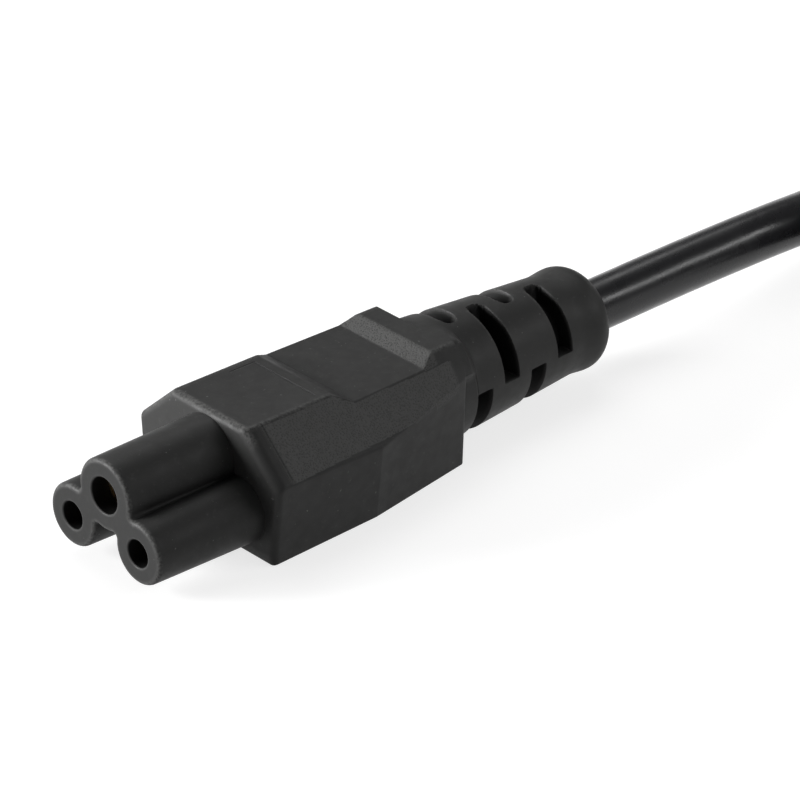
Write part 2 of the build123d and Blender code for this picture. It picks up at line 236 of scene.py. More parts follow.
class StudioLight(bpy.types.PropertyGroup):
    """Floor and lamps."""
    floor: colour("Floor", "Colour of the plain floor", (0.42, 0.42, 0.42))
    floor_glow: FloatProperty(
        name="Floor white", description="White that the camera adds to the floor near the object",
        default=0.73, min=0.0, max=1.0)
    sky: FloatProperty(
        name="Room light", description="Strength of the room overhead, which is white at the horizon",
        default=0.14, min=0.0)
    key_power: power("Key lamp", "Power of the soft lamp on the mating side", 12.2)
    top_power: power("Top lamp", "Power of the soft lamp overhead", 2.0)
    strip_power: power("Strip lamp", "Power of the narrow lamp along the cord", 1.3)


def ease(low, high, value):
    """Cubic ease from 0 at low to 1 at high."""
    t = np.clip((value - low) / (high - low), 0.0, 1.0)
    return t * t * (3.0 - 2.0 * t)


def soft_min(first, second, blend):
    """Smaller of two surfaces, their meeting edge rounded over the blend width."""
    h = np.clip(0.5 + 0.5 * (second - first) / blend, 0.0, 1.0)
    return second + (first - second) * h - blend * h * (1.0 - h)


def quarter(count):
    """Angles over a quarter turn."""
    return np.linspace(0.0, math.pi / 2.0, count)


def polar(angle):
    """Unit (y, z) directions at angles."""
    return np.stack([np.cos(angle), np.sin(angle)], axis=-1)


def around(places, low, high, count):
    """Close run of values from low to high about each of the places."""
    return (np.asarray(places)[:, None] + np.linspace(low, high, count)[None]).ravel()


def along_x(x, flat):
    """Puts rings of (y, z) points at their stations: (rows, count, 2) becomes (rows, count, 3)."""
    stations = np.broadcast_to(np.asarray(x)[:, None, None], flat.shape[:2] + (1,))
    return np.concatenate([stations, flat], axis=2)


def ring_quads(rows, count):
    """Vertex numbers of the quads between neighbouring rows of closed rings."""
    low = np.arange(rows - 1)[:, None] * count
    here = np.arange(count)[None, :]
    after = (here + 1) % count
    quads = np.stack([low + here, low + after, low + count + after, low + count + here], axis=-1)
    return quads.reshape(-1, 4)


def shell(rings, close_first=True, close_last=True):
    """One patch from closed rings of shape (rows, count, 3); an end is closed by a fan to its middle point."""
    rows, count = rings.shape[:2]
    points = [rings.reshape(-1, 3)]
    faces = ring_quads(rows, count).tolist()
    hub = rows * count
    here = np.arange(count)
    after = (here + 1) % count
    for closed, row in ((close_first, 0), (close_last, rows - 1)):
        if closed:
            points.append(rings[row].mean(axis=0, keepdims=True))
            start = row * count
            faces += np.stack([start + here, start + after, np.full(count, hub)], axis=-1).tolist()
            hub += 1
    return np.concatenate(points), faces


def flat_face(x, outline, holes):
    """Patch of a flat face across X: its outline less its holes, cut into triangles."""
    loops = [outline] + holes
    corners = [[Vector((0.0, y, z)) for y, z in loop] for loop in loops]
    flat = np.concatenate(loops)
    points = np.column_stack([np.full(len(flat), x), flat])
    return points, [list(triangle) for triangle in tessellate_polygon(corners)]


def turned_rings(x, radius, centre, count):
    """Surface of revolution about an axis along X: the ring at each station has that station's radius."""
    unit = polar(np.linspace(0.0, FULL_TURN, count, endpoint=False))
    flat = np.asarray(radius)[:, None, None] * unit[None] + np.asarray(centre)
    return along_x(x, flat)


def put_piece(name, patches, material, sharp=40.0, marks=None):
    """Joins patches into one mesh piece on the body, seams merged, normals outwards, smooth up to an angle."""
    seam, sliver = 1e-6, 1e-7
    points, faces, offset = [], [], 0
    for patch_points, patch_faces in patches:
        points.append(patch_points)
        faces += [[offset + corner for corner in face] for face in patch_faces]
        offset += len(patch_points)
    mesh = bpy.data.meshes.new(name)
    mesh.from_pydata(np.concatenate(points).tolist(), [], faces)
    for mark, values in (marks or {}).items():
        mesh.attributes.new(mark, "FLOAT", "POINT").data.foreach_set("value", values.astype(np.float32))
    work = bmesh.new()
    work.from_mesh(mesh)
    bmesh.ops.remove_doubles(work, verts=work.verts, dist=seam)
    bmesh.ops.dissolve_degenerate(work, edges=work.edges, dist=sliver)
    bmesh.ops.recalc_face_normals(work, faces=work.faces)
    work.to_mesh(mesh)
    work.free()
    mesh.shade_smooth()
    mesh.set_sharp_from_angle(angle=math.radians(sharp))
    mesh.materials.append(material)
    piece = bpy.data.objects.new(name, mesh)
    bpy.context.scene.collection.objects.link(piece)
    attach(piece, BODY)
    return piece


def spread_mark(patches, zones):
    """Values of a mark over all patches: each zone's on the first points of its numbered patch, 0 elsewhere."""
    starts = np.cumsum([0] + [len(points) for points, _ in patches])
    values = np.zeros(starts[-1])
    for number, zone in zones.items():
        values[starts[number]:starts[number] + zone.size] = zone.ravel()
    return values


def arc_run(centre, radius, start, stop, count, side):
    """Arc of an outline from the bearing of one point to that of another, seen from its centre.

    It runs anticlockwise where it bulges (side +1) and clockwise where it is hollow (side -1). Its rows are centre
    y, centre z, radius, angle and side."""
    first, last = (math.atan2(end[1] - centre[1], end[0] - centre[0]) for end in (start, stop))
    last = first + side * ((side * (last - first)) % FULL_TURN)
    angle = np.linspace(first, last, count, endpoint=False)
    ones = np.ones(count)
    return np.stack([centre[0] * ones, centre[1] * ones, radius * ones, angle, side * ones], axis=-1)


def clover_outline(sizes):
    """Cloverleaf outline, anticlockwise: three bulging circles joined by four hollow tangent arcs.

    A hollow arc's middle lies one circle radius plus the crease radius from both circles it joins."""
    line_r, earth_r, crease = sizes.line_barrel_r, sizes.earth_barrel_r, sizes.barrel_crease
    barrel_points, top_points, middle_points, crease_points = 80, 60, 8, 16
    line, earth = LINE_PLACE, EARTH_PLACE
    distance = np.linalg.norm(line - earth)
    towards = (line - earth) / distance
    across = np.array([-towards[1], towards[0]])
    along = (distance ** 2 + (earth_r + crease) ** 2 - (line_r + crease) ** 2) / (2.0 * distance)
    aside = math.sqrt((earth_r + crease) ** 2 - along ** 2)
    outer = earth + along * towards + aside * across
    inner = earth + along * towards - aside * across
    other, outer_2, inner_2 = line * MIRROR, outer * MIRROR, inner * MIRROR
    return np.concatenate([
        arc_run(line, line_r, inner, outer, barrel_points, 1.0),
        arc_run(outer, crease, line, earth, crease_points, -1.0),
        arc_run(earth, earth_r, outer, outer_2, top_points, 1.0),
        arc_run(outer_2, crease, earth, other, crease_points, -1.0),
        arc_run(other, line_r, outer_2, inner_2, barrel_points, 1.0),
        arc_run(inner_2, crease, other, earth, crease_points, -1.0),
        arc_run(earth, earth_r, inner_2, inner, middle_points, 1.0),
        arc_run(inner, crease, earth, line, crease_points, -1.0),
    ])


def clover_rings(sizes):
    """Barrels: the cloverleaf outline moved in or out at each station, rounded at the rim, drafted behind it.

    Also gives the marks of the rim's painted highlight and of the painted shade on the face and in the creases,
    the creases blurred sideways."""
    outline = clover_outline(sizes)
    rim = sizes.barrel_rim
    end, draft, margin = 15.4 * MM, 0.2 * MM, 0.15 * MM
    turn = quarter(9)
    reach = np.linspace(rim, end, 8)[1:]
    depth = np.concatenate([[0.0], rim * (1.0 - np.cos(turn)), reach])
    offset = np.concatenate([[-rim - margin], -rim * (1.0 - np.sin(turn)), draft * reach / reach[-1]])
    radius = outline[None, :, 2] + outline[None, :, 4] * offset[:, None]
    flat = outline[None, :, :2] + radius[:, :, None] * polar(outline[:, 3])[None]
    # Painted highlight along the rim's rounding, strongest half way round it
    rim_highlight = np.concatenate([[0.0], np.sin(2.0 * turn), np.zeros(len(reach))])
    # Painted shade in the hollows between barrels, blurred sideways; the face's flat ring takes FACE_SHADE
    hollow = np.tile(outline[:, 4] < 0.0, 3).astype(float)
    blur = np.hanning(35) / 17.0
    hollow = np.convolve(hollow, blur, "same")[len(outline):2 * len(outline)]
    crease = ease(0.2 * MM, 1.2 * MM, depth)[:, None] * np.minimum(1.4 * hollow, 1.0)[None]
    crease[0] = FACE_SHADE
    return along_x(FRONT_X + depth, flat), np.repeat(rim_highlight, len(outline)), crease


def hole_rings(centre, radius, cavity, lip, depth, face_x, inward):
    """Blind hole from a face: flat ring, rounded edge, lip, then the wider cavity to its end."""
    edge, margin = 0.22 * MM, 0.12 * MM
    turn = quarter(6)
    x = np.concatenate([[0.0], edge * (1.0 - np.cos(turn)), [lip, lip, depth]])
    rounded = radius + edge * (1.0 - np.sin(turn))
    r = np.concatenate([[radius + edge + margin], rounded, [radius, cavity, cavity]])
    return turned_rings(face_x + inward * x, r, centre, 56)


def pocket_height(x, floor_z):
    """Height of the pocket along X: straight ramps down to its floor and up again."""
    return np.interp(x, POCKET_X, [floor_z + POCKET_RISE, floor_z, floor_z, floor_z + POCKET_RISE])


def body_rings(sizes):
    """Six-sided body: corners run straight between three stations, each rounded by an arc about its inset corner.

    The inset corner lies the rounding's radius inside both of its sides. At the front and rear each side is
    pulled in along a quarter round by its own share, and the +Y ridge corner falls off in a straight line just
    before the rear. The pocket is the smaller of the outline's height and the pocket's height along X."""
    front_radius = sizes.front_round * FRONT_SHARES
    widest = front_radius.max()
    turn = quarter(11)
    middle = np.unique(np.concatenate([
        np.linspace(widest, BODY_LENGTH - REAR_ROUND, 60)[1:-1],
        [widest + 0.15 * MM, BODY_LENGTH - 0.6 * MM],
        around(BODY_STATIONS[1:2], -0.1 * MM, 0.1 * MM, 3),
        around([DROP_X], -0.05 * MM, 0.05 * MM, 3),
        np.linspace(25.4, 28.0, 14) * MM,
        around(POCKET_BENDS, -0.5 * MM, 0.5 * MM, 11),
    ]).round(6))
    x = np.concatenate([
        widest * (1.0 - np.cos(turn)), middle, BODY_LENGTH - REAR_ROUND + REAR_ROUND * np.sin(turn[::2]),
    ])
    front = np.maximum(front_radius - x[:, None], 0.0)
    front = front_radius - np.sqrt(front_radius ** 2 - front ** 2)
    rear = np.maximum(x - BODY_LENGTH + REAR_ROUND, 0.0)
    rear = REAR_ROUND - np.sqrt(np.maximum(REAR_ROUND ** 2 - rear ** 2, 0.0))
    inset = front + rear[:, None] * REAR_SHARES
    half, foot_in, rise, roof = (
        np.interp(x, BODY_STATIONS, row) for row in (BODY_SIDE, BODY_FOOT_IN, BODY_SHOULDER, BODY_TOP))
    foot = half - foot_in
    ridge = np.full_like(x, RIDGE_HALF)
    zero = np.zeros_like(x)
    corners = np.stack([
        np.stack([-foot, foot, half, ridge, -ridge, -half], axis=1),
        np.stack([zero, zero, rise, roof, roof, rise], axis=1),
    ], axis=-1)
    edges = np.roll(corners, -1, axis=1) - corners
    edges /= np.linalg.norm(edges, axis=-1, keepdims=True)
    normals = np.stack([edges[..., 1], -edges[..., 0]], axis=-1)
    before = np.roll(normals, 1, axis=1)
    lean = (before * normals).sum(axis=-1)
    radius = np.array([FOOT_ROUND] * 2 + [sizes.body_round] * 4)
    pull = radius + inset
    pull[:, 3] += DROP_SLOPE * np.maximum(x - DROP_X, 0.0)
    pull_before = radius + np.roll(inset, 1, axis=1)
    share_before = (pull_before - pull * lean) / (1.0 - lean ** 2)
    share_after = (pull - pull_before * lean) / (1.0 - lean ** 2)
    inner = corners - share_before[..., None] * before - share_after[..., None] * normals
    bearing = np.arctan2(normals[..., 1], normals[..., 0])
    sweep = np.linspace(0.0, 1.0, 9)
    runs = []
    for corner, side_points in enumerate((10, 14, 36, 20, 36, 14)):
        start = bearing[:, corner - 1]
        swing = (bearing[:, corner] - start) % FULL_TURN
        runs.append(inner[:, corner, None] + radius[corner] * polar(start[:, None] + swing[:, None] * sweep[None]))
        t = np.linspace(0.0, 1.0, side_points + 2)[1:-1]
        t = (0.7 * t + 0.3 * ease(0.0, 1.0, t))[None, :, None]
        beyond = (corner + 1) % 6
        start = inner[:, corner] + radius[corner] * normals[:, corner]
        stop = inner[:, beyond] + radius[beyond] * normals[:, corner]
        runs.append(start[:, None] * (1.0 - t) + stop[:, None] * t)
    flat = np.concatenate(runs, axis=1)
    flat[..., 1] = soft_min(flat[..., 1], pocket_height(x, sizes.pocket_floor)[:, None], POCKET_BLEND)
    rings = along_x(BODY_X + x, flat)
    front_share = 0.96
    first = rings[:1].mean(axis=1, keepdims=True)
    return np.concatenate([first + front_share * (rings[:1] - first), rings])


def body_marks(rings, floor_z):
    """Marks of the body by place, in millimetres: spark-eroded shoulder panels, rear ramp, lighter edges and
    painted highlight.

    A panel ends just below the brim, the pocket's height or the floor's behind the pocket's middle. An edge is
    made lighter within a short distance of the ridge and of the pocket's side. The front's upper corners get a
    painted highlight, from lower down on the +Y side than on the -Y side."""
    local = (rings[..., 0] - BODY_X) / MM
    width, height = np.abs(rings[..., 1]) / MM, rings[..., 2] / MM
    brim = np.minimum(pocket_height(local * MM, floor_z) / MM, 13.6)
    brim = np.where(local < 20.0, brim, floor_z / MM) - (0.08 + 0.12 * ease(16.0, 24.0, local))
    slope = (width > RIDGE_HALF / MM) & (height > 9.0) & (height < brim)
    panel = slope * ease(2.0, 2.2, local) * ease(27.2, 26.6, local)
    ramp = ease(23.25, 23.5, local) * ease(25.4, 25.1, local) * (height > 12.4)
    by_ridge = ease(0.5, 0.12, np.hypot(width - 5.5, height - 13.6))
    by_pocket = ease(0.4, 0.1, np.hypot(width - 6.6, height - 12.45)) * (np.abs(local - 18.3) <= 5.2)
    # Painted highlight on the front's upper rounded edges, reaching lower on the lit +Y side
    high_up = np.where(rings[..., 1] > 0.0, ease(8.5, 10.0, height), ease(12.0, 12.9, height))
    front_edge_highlight = high_up * ease(0.02, 0.2, local) * ease(0.9, 0.5, local)
    edge = np.maximum(np.maximum(0.75 * by_ridge, 0.1 * by_pocket), front_edge_highlight)
    return {"panel": panel, "ramp": ramp, "edge": edge}


def slot_centres(sizes):
    """Distances of the slot rows from the relief's base."""
    return sizes.slot_first + sizes.slot_pitch * np.arange(SLOT_ROWS)


def slot_depths(sizes, x, angle, base_r, margin):
    """Share of the way to a slot's floor over distance and angle, the slots widened by a margin.

    A slot covers a quarter turn from a ledge near the axis plane to a rounded end past the top or bottom, and the
    same half a turn on; neighbouring rows lie on alternate diagonals."""
    half_width = sizes.slot_width / 2.0
    wall, step, fall = 0.14 * MM, 0.12 * MM, 0.45 * MM
    deepest = np.zeros((len(x), len(angle)))
    for row, centre in enumerate(slot_centres(sizes)):
        inside_x = ease(-wall, wall, half_width + margin - np.abs(x - centre))
        nose = half_width - np.sqrt(np.maximum(half_width ** 2 - (x - centre) ** 2, 0.0))
        odd = row % 2
        ledge, end = 180.0 * odd - (3.0 - 0.7 * row), SLOT_ENDS[odd]
        spread = math.radians(abs(end - ledge) / 2.0)
        for half_turn in (0.0, 180.0):
            middle = math.radians((ledge + end) / 2.0 + half_turn)
            away = (angle - middle + math.pi) % FULL_TURN - math.pi
            signed = away if odd else -away
            to_ledge = (spread - signed) * base_r + margin
            to_end = (spread + signed) * base_r + margin
            inside_end = ease(0.0, fall, to_end[None] - nose[:, None])
            inside_turn = ease(-step, step, to_ledge)[None] * inside_end
            deepest = np.maximum(deepest, inside_x[:, None] * inside_turn)
    return deepest


def collar_reach(collar, axis, base_r, angle):
    """Distance from the taper's base to the line between two of the body's rear corners, on the -Y side only."""
    (wide, low), (narrow, high) = np.asarray(collar) - np.asarray(axis)
    across, up = np.abs(np.cos(angle)), np.maximum(np.sin(angle), 1e-3)
    slanting = (wide * high - narrow * low) / ((high - low) * across + (wide - narrow) * up)
    reach = soft_min(slanting, high / up, 0.5 * MM) - 0.015 * MM - base_r
    return np.maximum(reach, 0.0) * ease(0.36, 0.46, up) * ease(0.15, -0.15, np.cos(angle))


def relief_rings(sizes, length, radii, axis, start_x, heading, collar=None):
    """Slotted strain relief as a radius over angle and distance.

    The radius falls in a straight taper, swells at the tip and ends in a quarter round. Inside a slot it drops
    to the core. A collar, the body's rear corners given as (y, z), adds its reach, easing off behind the body.
    Also gives the marks of the slots' painted shade, 1 on their floor and walls, and of the lighter rims of their
    upper ends."""
    base_r, tip_r = radii
    tip = sizes.tip_round
    hidden, tip_hole, rim_width = 2.9 * MM, 0.4 * MM, 0.3 * MM
    half_width = sizes.slot_width / 2.0
    centres = slot_centres(sizes)
    x = np.unique(np.concatenate([
        np.linspace(-hidden, length - tip, 76),
        around(np.concatenate([centres - half_width, centres + half_width]), -0.16 * MM, 0.16 * MM, 7),
    ]).round(6))
    x = x[x < length - tip - 0.02 * MM]
    turn = quarter(14)
    cut = np.concatenate([np.zeros(len(x)), tip * (1.0 - np.cos(turn)), [tip + tip_hole]])
    x = np.concatenate([x, length - tip + tip * np.sin(turn), [length]])
    degrees = np.unique(np.concatenate([
        np.arange(0.0, 360.0, 2.5),
        around([0.0, 180.0], -6.6, 1.4, 21) % 360.0,
        around([88.0, 104.0, 268.0, 284.0], -12.0, 12.0, 19),
    ]).round(3))
    angle = np.radians(degrees)
    slope = (base_r - tip_r) / length
    outside = base_r - slope * x + sizes.bulge * ease(length - 5.2 * MM, length - 2.2 * MM, x)
    deep = slot_depths(sizes, x, angle, base_r, 0.0)
    # Lighter rims round the slots' upper ends
    rim = slot_depths(sizes, x, angle, base_r, rim_width) * (1.0 - ease(0.0, 0.3, deep))
    rim = rim * ease(0.6, 0.9, np.sin(angle))[None]
    radius = outside[:, None] + (sizes.slot_core - outside[:, None]) * deep - cut[:, None]
    if collar is not None:
        reach = collar_reach(collar, axis, base_r, angle)
        behind = ease(3.0 * MM, 0.4 * MM, x)
        radius = np.where(x < 0.0, base_r, radius.T).T + behind[:, None] * reach[None] * (1.0 - deep)
    y = axis[0] + heading * radius * np.cos(angle)[None]
    z = np.maximum(axis[1] + radius * np.sin(angle)[None], 0.0)
    # The slot mark returned here is painted shade over the slots' floor and walls
    return along_x(start_x + heading * x, np.stack([y, z], axis=-1)), ease(0.0, 0.08, deep), rim


def plug_head_rings(sizes):
    """Grip and block of the plug as a radius over angle and distance.

    The grip swells with the square of the distance to the block's radius. The two flats, the guide notches and
    the strap grooves are planes that hold the radius below their distance over the sine or cosine of the angle."""
    big, flat_z, edge = sizes.radius, sizes.half_height, sizes.face_round
    start_round, grip_length, step = 0.6 * MM, 16.0 * MM, 0.1 * MM
    notch_half, notch_depth = 2.5 * MM, 2.4 * MM
    groove_half, groove_depth = 3.5 * MM, 1.2 * MM
    wall = 0.12 * MM
    length = PLUG_FACE_X - PLUG_GRIP_X
    turn = quarter(9)
    middle = np.unique(np.concatenate([
        np.linspace(start_round, length - edge, 90),
        around([PLUG_BLOCK_START, PLUG_GROOVE_START], -0.3 * MM, 0.3 * MM, 7),
    ]).round(6))[1:-1]
    x = np.concatenate([start_round * (1.0 - np.cos(turn)), middle, length - edge + edge * np.sin(turn)])
    inset = np.concatenate([
        start_round * (1.0 - np.sin(turn)), np.zeros(len(middle)), edge * (1.0 - np.cos(turn)),
    ])
    degrees = np.unique(np.concatenate([
        np.arange(0.0, 360.0, 2.0),
        around([7.8, 172.2, 187.8, 352.2], -0.8, 0.8, 9),
        around([78.1, 101.9, 258.1, 281.9], -0.9, 0.9, 9),
        around([64.4, 115.6, 244.4, 295.6], -1.5, 1.5, 7),
    ]).round(3))
    angle = np.radians(degrees)[None]
    swell = sizes.neck_r + (big - sizes.neck_r) * (x / grip_length) ** 2
    sine = np.maximum(np.abs(np.sin(angle)), 1e-4)
    cosine = np.maximum(np.abs(np.cos(angle)), 1e-4)
    radius = soft_min(soft_min(swell, big, 0.9 * MM)[:, None], flat_z / sine, 0.25 * MM)
    on_block, in_groove = (
        ease(start - step, start + step, x)[:, None] for start in (PLUG_BLOCK_START, PLUG_GROOVE_START))
    notch = on_block * ease(-wall, wall, notch_half - big * sine) * (cosine > 0.9)
    radius = radius + notch * (np.minimum(radius, (big - notch_depth) / cosine) - radius)
    groove = in_groove * ease(-wall, wall, groove_half - flat_z * cosine / sine) * (sine > 0.9)
    radius = radius + groove * (np.minimum(radius, (flat_z - groove_depth) / sine) - radius)
    radius = radius - inset[:, None]
    flat = np.asarray(PLUG_AXIS) + radius[..., None] * polar(angle)
    rings = along_x(PLUG_GRIP_X + x, flat)
    face_share = 0.988
    last = np.array([PLUG_FACE_X, *PLUG_AXIS])
    return np.concatenate([rings, last + face_share * (rings[-1:] - last)])


def pin_rings(sizes, y):
    """Solid pin as a turned outline: crimp, shank, collar, shank, then the plated pin with its rounded tip."""
    tip, crimp_r, shank_r, collar_r = 1.9 * MM, 1.8 * MM, 2.2 * MM, 3.4 * MM
    back, collar = PLUG_FACE_X - 11.0 * MM, PLUG_FACE_X - 9.0 * MM
    collar_end, face = collar + 3.0 * MM, PLUG_FACE_X - 0.02 * MM
    end = PLUG_FACE_X + PIN_LENGTH
    turn = quarter(12)
    outline = np.array([
        (back - 7.0 * MM, crimp_r), (back, crimp_r), (back, shank_r), (collar, shank_r), (collar, collar_r),
        (collar_end, collar_r), (collar_end, shank_r), (face, shank_r),
        (face, sizes.pin_r), (PLUG_FACE_X + 8.0 * MM, sizes.pin_r),
    ])
    x = np.concatenate([outline[:, 0], end - tip + tip * np.sin(turn)])
    radius = np.concatenate([outline[:, 1], sizes.pin_r - tip + tip * np.cos(turn)])
    return turned_rings(x, radius, (y, PLUG_AXIS[1]), 72)


def strap_path(low, high, corner, count):
    """Rounded rectangle in (y, z), anticlockwise: quarter arcs about the four inset corners.

    Also gives its outward directions."""
    middles = np.array([
        (high[0] - corner, low[1] + corner), (high[0] - corner, high[1] - corner),
        (low[0] + corner, high[1] - corner), (low[0] + corner, low[1] + corner),
    ])
    share = np.linspace(0.0, 1.0, count)
    unit = polar((np.arange(4)[:, None] - 1.0 + share[None]) * math.pi / 2.0)
    return (middles[:, None] + corner * unit).reshape(-1, 2), unit.reshape(-1, 2)


def strap_rings(path, outward, x, width, low, high):
    """Strap section, a flat bar with rounded edges, carried along a path: one ring per point of the path."""
    cosine, sine = polar(np.linspace(0.0, FULL_TURN, 24, endpoint=False)).T
    bar = np.abs(cosine) ** 0.25 * np.sign(cosine) * width / 2.0
    lift = (low + high) / 2.0 + np.abs(sine) ** 0.5 * np.sign(sine) * (high - low) / 2.0
    flat = path[:, None] + lift[None, :, None] * outward[:, None]
    stations = np.broadcast_to((x + bar)[None, :, None], flat.shape[:2] + (1,))
    return np.concatenate([stations, flat], axis=2)


def hank_points(diameter):
    """Control points of the hank's seven full turns, 17 to a turn, as an array (7, 17, 3).

    Each end is half a polygon round its fold, every 30 degrees, whose sides touch the fold's circle. The turns
    lie in two columns and four layers, the upper ones drawn back at the near fold, where a turn passes into its
    neighbour's place. A run has one point beside each fold, a side of the polygon away. Under the tie the lowest
    layer rests on the strap and the layers above are pressed closer, so the folds bulge a little."""
    columns = np.array([1, 0, 0, 1, 1, 0, 0, 1])
    layers = np.array([0, 0, 1, 1, 2, 2, 3, 3])
    drawn_back = np.array([0.0, 0.0, 3.0, 5.0, 8.0, 10.0, 10.0])[:, None] * MM
    bulb, side_sway, slack, lift = 0.9 * MM, 1.4 * MM, 0.35 * MM, 1.4 * MM
    half_step = math.radians(15.0)
    fold = FOLD_R + columns * diameter
    height = (layers + 0.5) * diameter
    now, after = fold[:-1, None], fold[1:, None]
    level, next_level = height[:-1, None], height[1:, None]
    far = np.radians(np.array([75.0, 45.0, 15.0, -15.0, -45.0, -75.0]))[None]
    near = np.radians(np.array([255.0, 225.0, 195.0, 165.0, 135.0, 105.0]))[None]
    share = np.array([0.03, 0.18, 0.39, 0.61, 0.82, 0.97])[None]
    rising = (next_level > level) * np.sin(math.pi * share)
    sway = rising * columns[:-1, None] * side_sway
    reach = 1.0 / math.cos(half_step)
    loose = slack * np.sin(2.4 * np.arange(7)[:, None] + 0.9)
    far_x = HANK_FAR_X + loose + (now + bulb) * reach * np.cos(far)
    far_y = HANK_Y + (now + bulb) * reach * np.sin(far)
    near_r = now + bulb + (after - now) * share + sway
    near_x = HANK_NEAR_X + drawn_back + near_r * reach * np.cos(near)
    near_y = HANK_Y + near_r * reach * np.sin(near)
    near_z = level + (next_level - level) * share
    press = lift * (1.0 - layers[:-1, None] / 3.0)
    tied_x = np.full_like(now, HANK_X + 2.0 * MM)
    far_side = 2.0 * (now + bulb) * math.tan(half_step)
    near_side = 2.0 * near_r * math.tan(half_step)
    x = np.concatenate([
        far_x[:, :1] - far_side, far_x, far_x[:, -1:] - far_side, tied_x,
        near_x[:, :1] + near_side[:, :1], near_x, near_x[:, -1:] + near_side[:, -1:],
    ], axis=1)
    y = np.concatenate([
        far_y[:, :1], far_y, far_y[:, -1:], HANK_Y - now, near_y[:, :1], near_y, near_y[:, -1:],
    ], axis=1)
    z = np.concatenate([np.repeat(level, 8, axis=1), level + press, level, near_z, next_level], axis=1)
    return np.stack([x, y, z], axis=-1)


class Graph:
    """Short names for adding and joining the nodes of one tree."""

    def __init__(self, owner, output="ShaderNodeOutputMaterial", coords="Object"):
        owner.use_nodes = True
        self.tree = owner.node_tree
        self.tree.nodes.clear()
        self.output = self.node(output)
        self.coords = self.node("ShaderNodeTexCoord").outputs[coords]

    def node(self, kind, inputs=None, **settings):
        """New node with its settings; each input takes a value or is joined to a socket."""
        made = self.tree.nodes.new(kind)
        for key, value in settings.items():
            setattr(made, key, value)
        for key, value in (inputs or {}).items():
            self.put(made.inputs[key], value)
        return made

    def put(self, socket, value):
        if isinstance(value, bpy.types.NodeSocket):
            self.tree.links.new(value, socket)
        else:
            socket.default_value = value

    def surface(self, shader):
        self.put(self.output.inputs["Surface"], shader.outputs[0])

    def noise(self, scale, detail=3.0, rough=0.5, coords=None):
        inputs = {"Scale": scale, "Detail": detail, "Roughness": rough, "Vector": coords or self.coords}
        return self.node("ShaderNodeTexNoise", inputs).outputs["Fac"]

    def cells(self, scale):
        return self.node("ShaderNodeTexVoronoi", {"Scale": scale, "Vector": self.coords}).outputs["Distance"]

    def stretch(self, scale):
        return self.node("ShaderNodeMapping", {"Scale": scale, "Vector": self.coords}).outputs["Vector"]

    def axes(self):
        return self.node("ShaderNodeSeparateXYZ", {"Vector": self.coords}).outputs

    def mark(self, name):
        return self.node("ShaderNodeAttribute", attribute_name=name).outputs["Fac"]

    def math(self, operation, *values):
        return self.node("ShaderNodeMath", dict(enumerate(values)), operation=operation).outputs["Value"]

    def product(self, first, *others):
        for other in others:
            first = self.math("MULTIPLY", first, other)
        return first

    def ramp(self, value, low, high, bottom=0.0, top=1.0, kind="SMOOTHSTEP"):
        inputs = {"Value": value, "From Min": low, "From Max": high, "To Min": bottom, "To Max": top}
        return self.node("ShaderNodeMapRange", inputs, interpolation_type=kind).outputs["Result"]

    def stripe(self, value, middle, half, soft):
        """1 within half a width of the middle, falling to 0 over the soft margin."""
        away = self.math("ABSOLUTE", self.math("SUBTRACT", value, middle))
        return self.ramp(away, half, half + soft, 1.0, 0.0)

    def blend(self, factor, first, second):
        """Colour that passes from the first to the second with the factor; each is a colour or a socket."""
        first, second = (
            tone if isinstance(tone, bpy.types.NodeSocket) else (*tone, 1.0) for tone in (first, second))
        return self.node("ShaderNodeMix", {"Factor": factor, 6: first, 7: second}, data_type="RGBA").outputs[2]

    def uneven(self, factor, tone, low, high):
        """Colour that passes from a darker to a lighter tint of itself with the factor."""
        return self.blend(factor, tint(tone, low), tint(tone, high))

    def bump(self, height, distance, strength, under=None):
        inputs = {"Distance": distance, "Strength": strength, "Height": height}
        if under is not None:
            inputs["Normal"] = under
        return self.node("ShaderNodeBump", inputs).outputs["Normal"]


class Finish(Graph):
    """Graph of a material that ends in one principled shader."""

    def __init__(self, name, metallic=0.0, specular=0.5):
        self.material = bpy.data.materials.new(name)
        super().__init__(self.material)
        self.gloss = {"Metallic": metallic, "Specular IOR Level": specular}

    def done(self, base, rough, normal):
        inputs = {"Base Color": base, "Roughness": rough, "Normal": normal, **self.gloss}
        self.surface(self.node("ShaderNodeBsdfPrincipled", inputs))
        return self.material


def tint(tone, share):
    """The same colour, lighter or darker by a share."""
    return tuple(channel * share for channel in tone)


MOULDING_SPECULAR = 0.16
# Share of the moulding's colour left where painted shade darkens the slots, creases, holes and mating face
PAINTED_SHADE_TINT = 0.12


def connector_lines(g, x, y, z):
    """Factor of the fine mould lines: across and beside the top, at the panels' front and behind the collar."""
    wide = g.math("ABSOLUTE", y)
    soft = 0.09 * MM
    across = g.product(
        g.stripe(x, FRONT_X + 23.5 * MM, 0.07 * MM, soft), g.ramp(wide, 4.5 * MM, 4.6 * MM, 1.0, 0.0))
    beside = g.product(
        g.stripe(y, 4.55 * MM, 0.05 * MM, soft), g.stripe(x, FRONT_X + 22.0 * MM, 1.5 * MM, 0.3 * MM))
    top = g.product(g.math("MAXIMUM", across, beside), g.ramp(z, 12.9 * MM, 13.0 * MM))
    panel = g.product(
        g.stripe(x, BODY_X + 2.1 * MM, 0.06 * MM, 0.1 * MM), g.ramp(wide, 5.5 * MM, 5.7 * MM),
        g.ramp(z, 9.2 * MM, 9.5 * MM))
    collar = g.product(
        g.stripe(x, RELIEF_X + 2.4 * MM, 0.05 * MM, soft), g.ramp(wide, 2.6 * MM, 3.8 * MM),
        g.ramp(z, 6.8 * MM, 7.6 * MM))
    return g.math("MAXIMUM", g.math("MAXIMUM", top, panel), collar)


